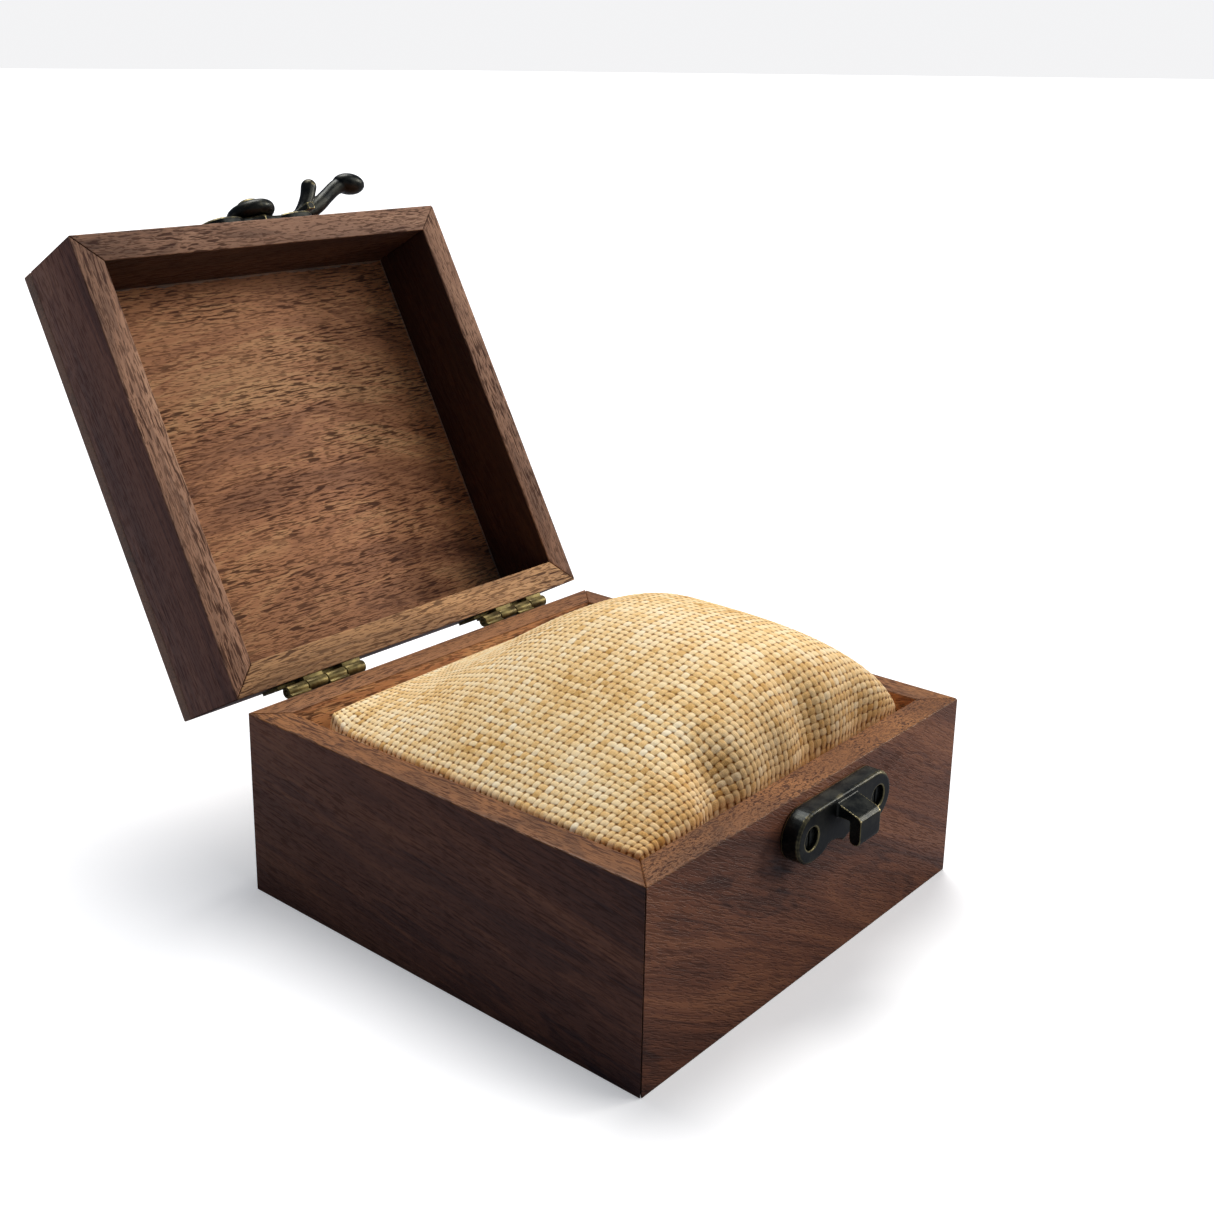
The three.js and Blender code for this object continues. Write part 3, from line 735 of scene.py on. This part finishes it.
def cover(steps=120, excess=1.006):
    """Cloth simulation: a cover cut a little larger than its stuffing, held along its seam, which
    can't stretch and buckles softly. Gives the grid of places, in millimetres."""
    line = np.linspace(-1, 1, CELLS + 1)
    s, t = np.meshgrid(line, line, indexing="ij")
    target = spread(s, t)
    facing = normals(target)
    seam = (abs(s) == 1) | (abs(t) == 1)
    slackness = np.random.default_rng(3).normal(0, 0.3, s.shape)
    place = target + facing * np.where(seam, 0, slackness)[..., None]
    # Ties between neighbours: how much slack each has, and how it resists stretching and shortening.
    links = []
    for offset, slack, stiff, soft in (
        ((1, 0), excess, 0.8, 0.6),
        ((0, 1), excess, 0.8, 0.6),
        ((1, 1), 1.0, 0.1, 0.05),
        ((-1, 1), 1.0, 0.1, 0.05),
    ):
        first, second = neighbours(*offset)
        length = np.linalg.norm(target[first] - target[second], axis=-1, keepdims=True) * slack
        links.append((first, second, length, stiff, soft))
    for _ in range(steps):
        place += 0.10 * part_along(target - place, facing)
        place -= 0.4 * unevenness(unevenness(place))
        for _ in range(3):
            for first, second, length, stiff, soft in links:
                span = place[second] - place[first]
                now = np.linalg.norm(span, axis=-1, keepdims=True)
                push = span * (now - length) / now * np.where(now > length, stiff, soft) / 2
                place[first] += push
                place[second] -= push
            place[seam] = target[seam]
    return place


def past_border(index, last, reach):
    """How far the cloth runs on past its border, in yarns, along one axis of the weave."""
    return -reach if index == 0 else reach if index == last else 0


def cushion_cage():
    """The coarse closed form: the cover on top, one row of sides and one face below. Each of its
    vertices has a place in the cloth, counted in yarns."""
    n = CELLS
    last = YARNS_PER_CELL * n
    places = cover() * MM
    bm = bmesh.new()
    weave = bm.loops.layers.uv.new("Weave")
    grid = [[bm.verts.new(places[i, j]) for j in range(n + 1)] for i in range(n + 1)]
    cloth = {}
    for i, j in np.ndindex(n + 1, n + 1):
        cloth[grid[i][j]] = (YARNS_PER_CELL * i, YARNS_PER_CELL * j)
    for i in range(n):
        for j in range(n):
            bm.faces.new((grid[i][j], grid[i + 1][j], grid[i + 1][j + 1], grid[i][j + 1]))
    border = [grid[i][0] for i in range(n)] + [grid[n][j] for j in range(n)]
    border += [grid[n - i][n] for i in range(n)] + [grid[0][n - j] for j in range(n)]
    foot = CUSHION_LOW.z
    drop = round((RIM - foot) * last / (CUSHION_HIGH.x - CUSHION_LOW.x))
    lower = []
    for vert in border:
        below = bm.verts.new((vert.co.x * FOOT_SIZE, vert.co.y * FOOT_SIZE, foot))
        cloth[below] = tuple(place + past_border(place, last, drop) for place in cloth[vert])
        lower.append(below)
    count = len(border)
    for k in range(count):
        after = (k + 1) % count
        bm.faces.new((border[after], border[k], lower[k], lower[after]))
    bm.faces.new(lower)
    for face in bm.faces:
        for loop in face.loops:
            loop[weave].uv = cloth[loop.vert]
    bmesh.ops.recalc_face_normals(bm, faces=bm.faces)
    return to_mesh(bm, "cushion_cage")


def weave_height(u, v):
    """How high the cloth stands at a place in the weave, from 0 between yarns to 1 on a crossing."""
    return (np.sin(math.pi * u) ** 2 + np.sin(math.pi * v) ** 2) / 2


def subdivide(piece):
    """Gives the piece its finely divided, rounded form."""
    divide = piece.modifiers.new("divide", "SUBSURF")
    divide.levels = SUBDIVISIONS
    divide.render_levels = SUBDIVISIONS
    divide.uv_smooth = "NONE"
    depsgraph = bpy.context.evaluated_depsgraph_get()
    fine = bpy.data.meshes.new_from_object(piece.evaluated_get(depsgraph))
    piece.modifiers.clear()
    piece.data = fine


def raise_yarns(fine):
    """Moves the vertices out on the yarns' crossings and in between them."""
    corner = read(fine.loops, "vertex_index", 1).astype(int).ravel()
    cloth = np.zeros((len(fine.vertices), 2))
    cloth[corner] = read(fine.uv_layers["Weave"].data, "uv", 2)
    place, normal = read(fine.vertices, "co"), read(fine.vertices, "normal")
    rise = weave_height(cloth[:, 0], cloth[:, 1])
    place += normal * (rise - 0.5)[:, None] * YARN_HEIGHT
    fine.vertices.foreach_set("co", place.ravel())
    fine.update()
    fine.shade_smooth()


def make_cushion():
    piece = show("burlap_cushion", cushion_cage(), "base", burlap("burlap"), ["cushion"])
    subdivide(piece)
    raise_yarns(piece.data)


# ---- Stage ----

# The floor as the camera sees it, and as it lights the box.
FLOOR_COLOUR = (0.88, 0.885, 0.90, 1)
FLOOR_BOUNCE = (0.22, 0.23, 0.26, 1)
# Each sun's direction, strength, spread in degrees and colour.
SUNS = {
    "overhead": ((0.25, 0.34, 0.90), 2.85, 35, (1.0, 0.98, 0.95)),
    "front": ((0.50, -0.60, 0.62), 0.75, 30, (1.0, 0.965, 0.91)),
    "side": ((0.85, -0.42, 0.32), 1.2, 14, (1.0, 0.95, 0.88)),
}


def make_stage():
    """A pale floor. For the light that bounces off it, it is a darker one."""
    bm = bmesh.new()
    bmesh.ops.create_grid(bm, x_segments=1, y_segments=1, size=30.0)
    mesh = to_mesh(bm, "floor")
    floor = bpy.data.objects.new("floor", mesh)
    bpy.context.scene.collection.objects.link(floor)
    shader = Shader("floor_paper")
    seen = shader.add("LightPath").outputs["Is Camera Ray"]
    grain = shader.noise(shader.add("TexCoord").outputs["Object"], 400.0, 2.0)
    colour = shader.mix(seen, FLOOR_BOUNCE, FLOOR_COLOUR)
    inputs = {"Base Color": colour, "Roughness": 0.9, "Specular IOR Level": 0.1}
    inputs.update({"Emission Color": (1, 1, 1, 1), "Emission Strength": shader.math("MULTIPLY", seen, 0.35)})
    mesh.materials.append(shader.finish(inputs, grain, 0.02 * MM, 0.1))


def add_sun(name, towards, strength, spread, colour):
    """A soft light from far away, in the direction of towards."""
    data = bpy.data.lights.new(name, "SUN")
    data.energy = strength
    data.angle = math.radians(spread)
    data.color = colour
    lamp = bpy.data.objects.new(name, data)
    lamp.rotation_mode = "QUATERNION"
    lamp.rotation_quaternion = Vector(towards).to_track_quat("Z", "Y")
    lamp.location = Vector(towards) * 2
    bpy.context.scene.collection.objects.link(lamp)


def make_world():
    """A faint cool glow all round, behind which the camera sees a pale background."""
    world = bpy.data.worlds.new("studio")
    bpy.context.scene.world = world
    world.use_nodes = True
    tree = world.node_tree
    tree.nodes.clear()
    seen = tree.nodes.new("ShaderNodeBackground")
    seen.inputs[0].default_value = (0.90, 0.90, 0.91, 1)
    glow = tree.nodes.new("ShaderNodeBackground")
    glow.inputs[0].default_value = (0.68, 0.82, 1.1, 1)
    glow.inputs[1].default_value = 0.13
    path = tree.nodes.new("ShaderNodeLightPath")
    choose = tree.nodes.new("ShaderNodeMixShader")
    output = tree.nodes.new("ShaderNodeOutputWorld")
    tree.links.new(path.outputs["Is Camera Ray"], choose.inputs[0])
    tree.links.new(glow.outputs[0], choose.inputs[1])
    tree.links.new(seen.outputs[0], choose.inputs[2])
    tree.links.new(choose.outputs[0], output.inputs[0])


def make_suns():
    for name, settings in SUNS.items():
        add_sun(name, *settings)


def make_camera():
    """A camera that stands at the photograph's viewpoint."""
    data = bpy.data.cameras.new("camera")
    camera = bpy.data.objects.new("camera", data)
    bpy.context.scene.collection.objects.link(camera)
    azimuth, elevation = math.radians(CAMERA_AZIMUTH), math.radians(CAMERA_ELEVATION)
    level = math.cos(elevation)
    ahead = Vector((-math.sin(azimuth) * level, math.cos(azimuth) * level, -math.sin(elevation)))
    turn = ahead.to_track_quat("-Z", "Y").to_matrix().to_4x4()
    roll = Matrix.Rotation(math.radians(CAMERA_ROLL), 4, "Z")
    camera.matrix_world = Matrix.Translation(CAMERA_PLACE) @ turn @ roll
    data.sensor_width = 36.0
    data.lens = CAMERA_LENS
    data.shift_x, data.shift_y = CAMERA_SHIFT
    data.clip_start, data.clip_end = 0.01, 60.0
    bpy.context.scene.camera = camera


make_camera()
make_world()
make_suns()
make_stage()
make_boards()
make_hinges()
make_latch()
make_cushion()
bpy.context.scene.view_settings.view_transform = "Standard"
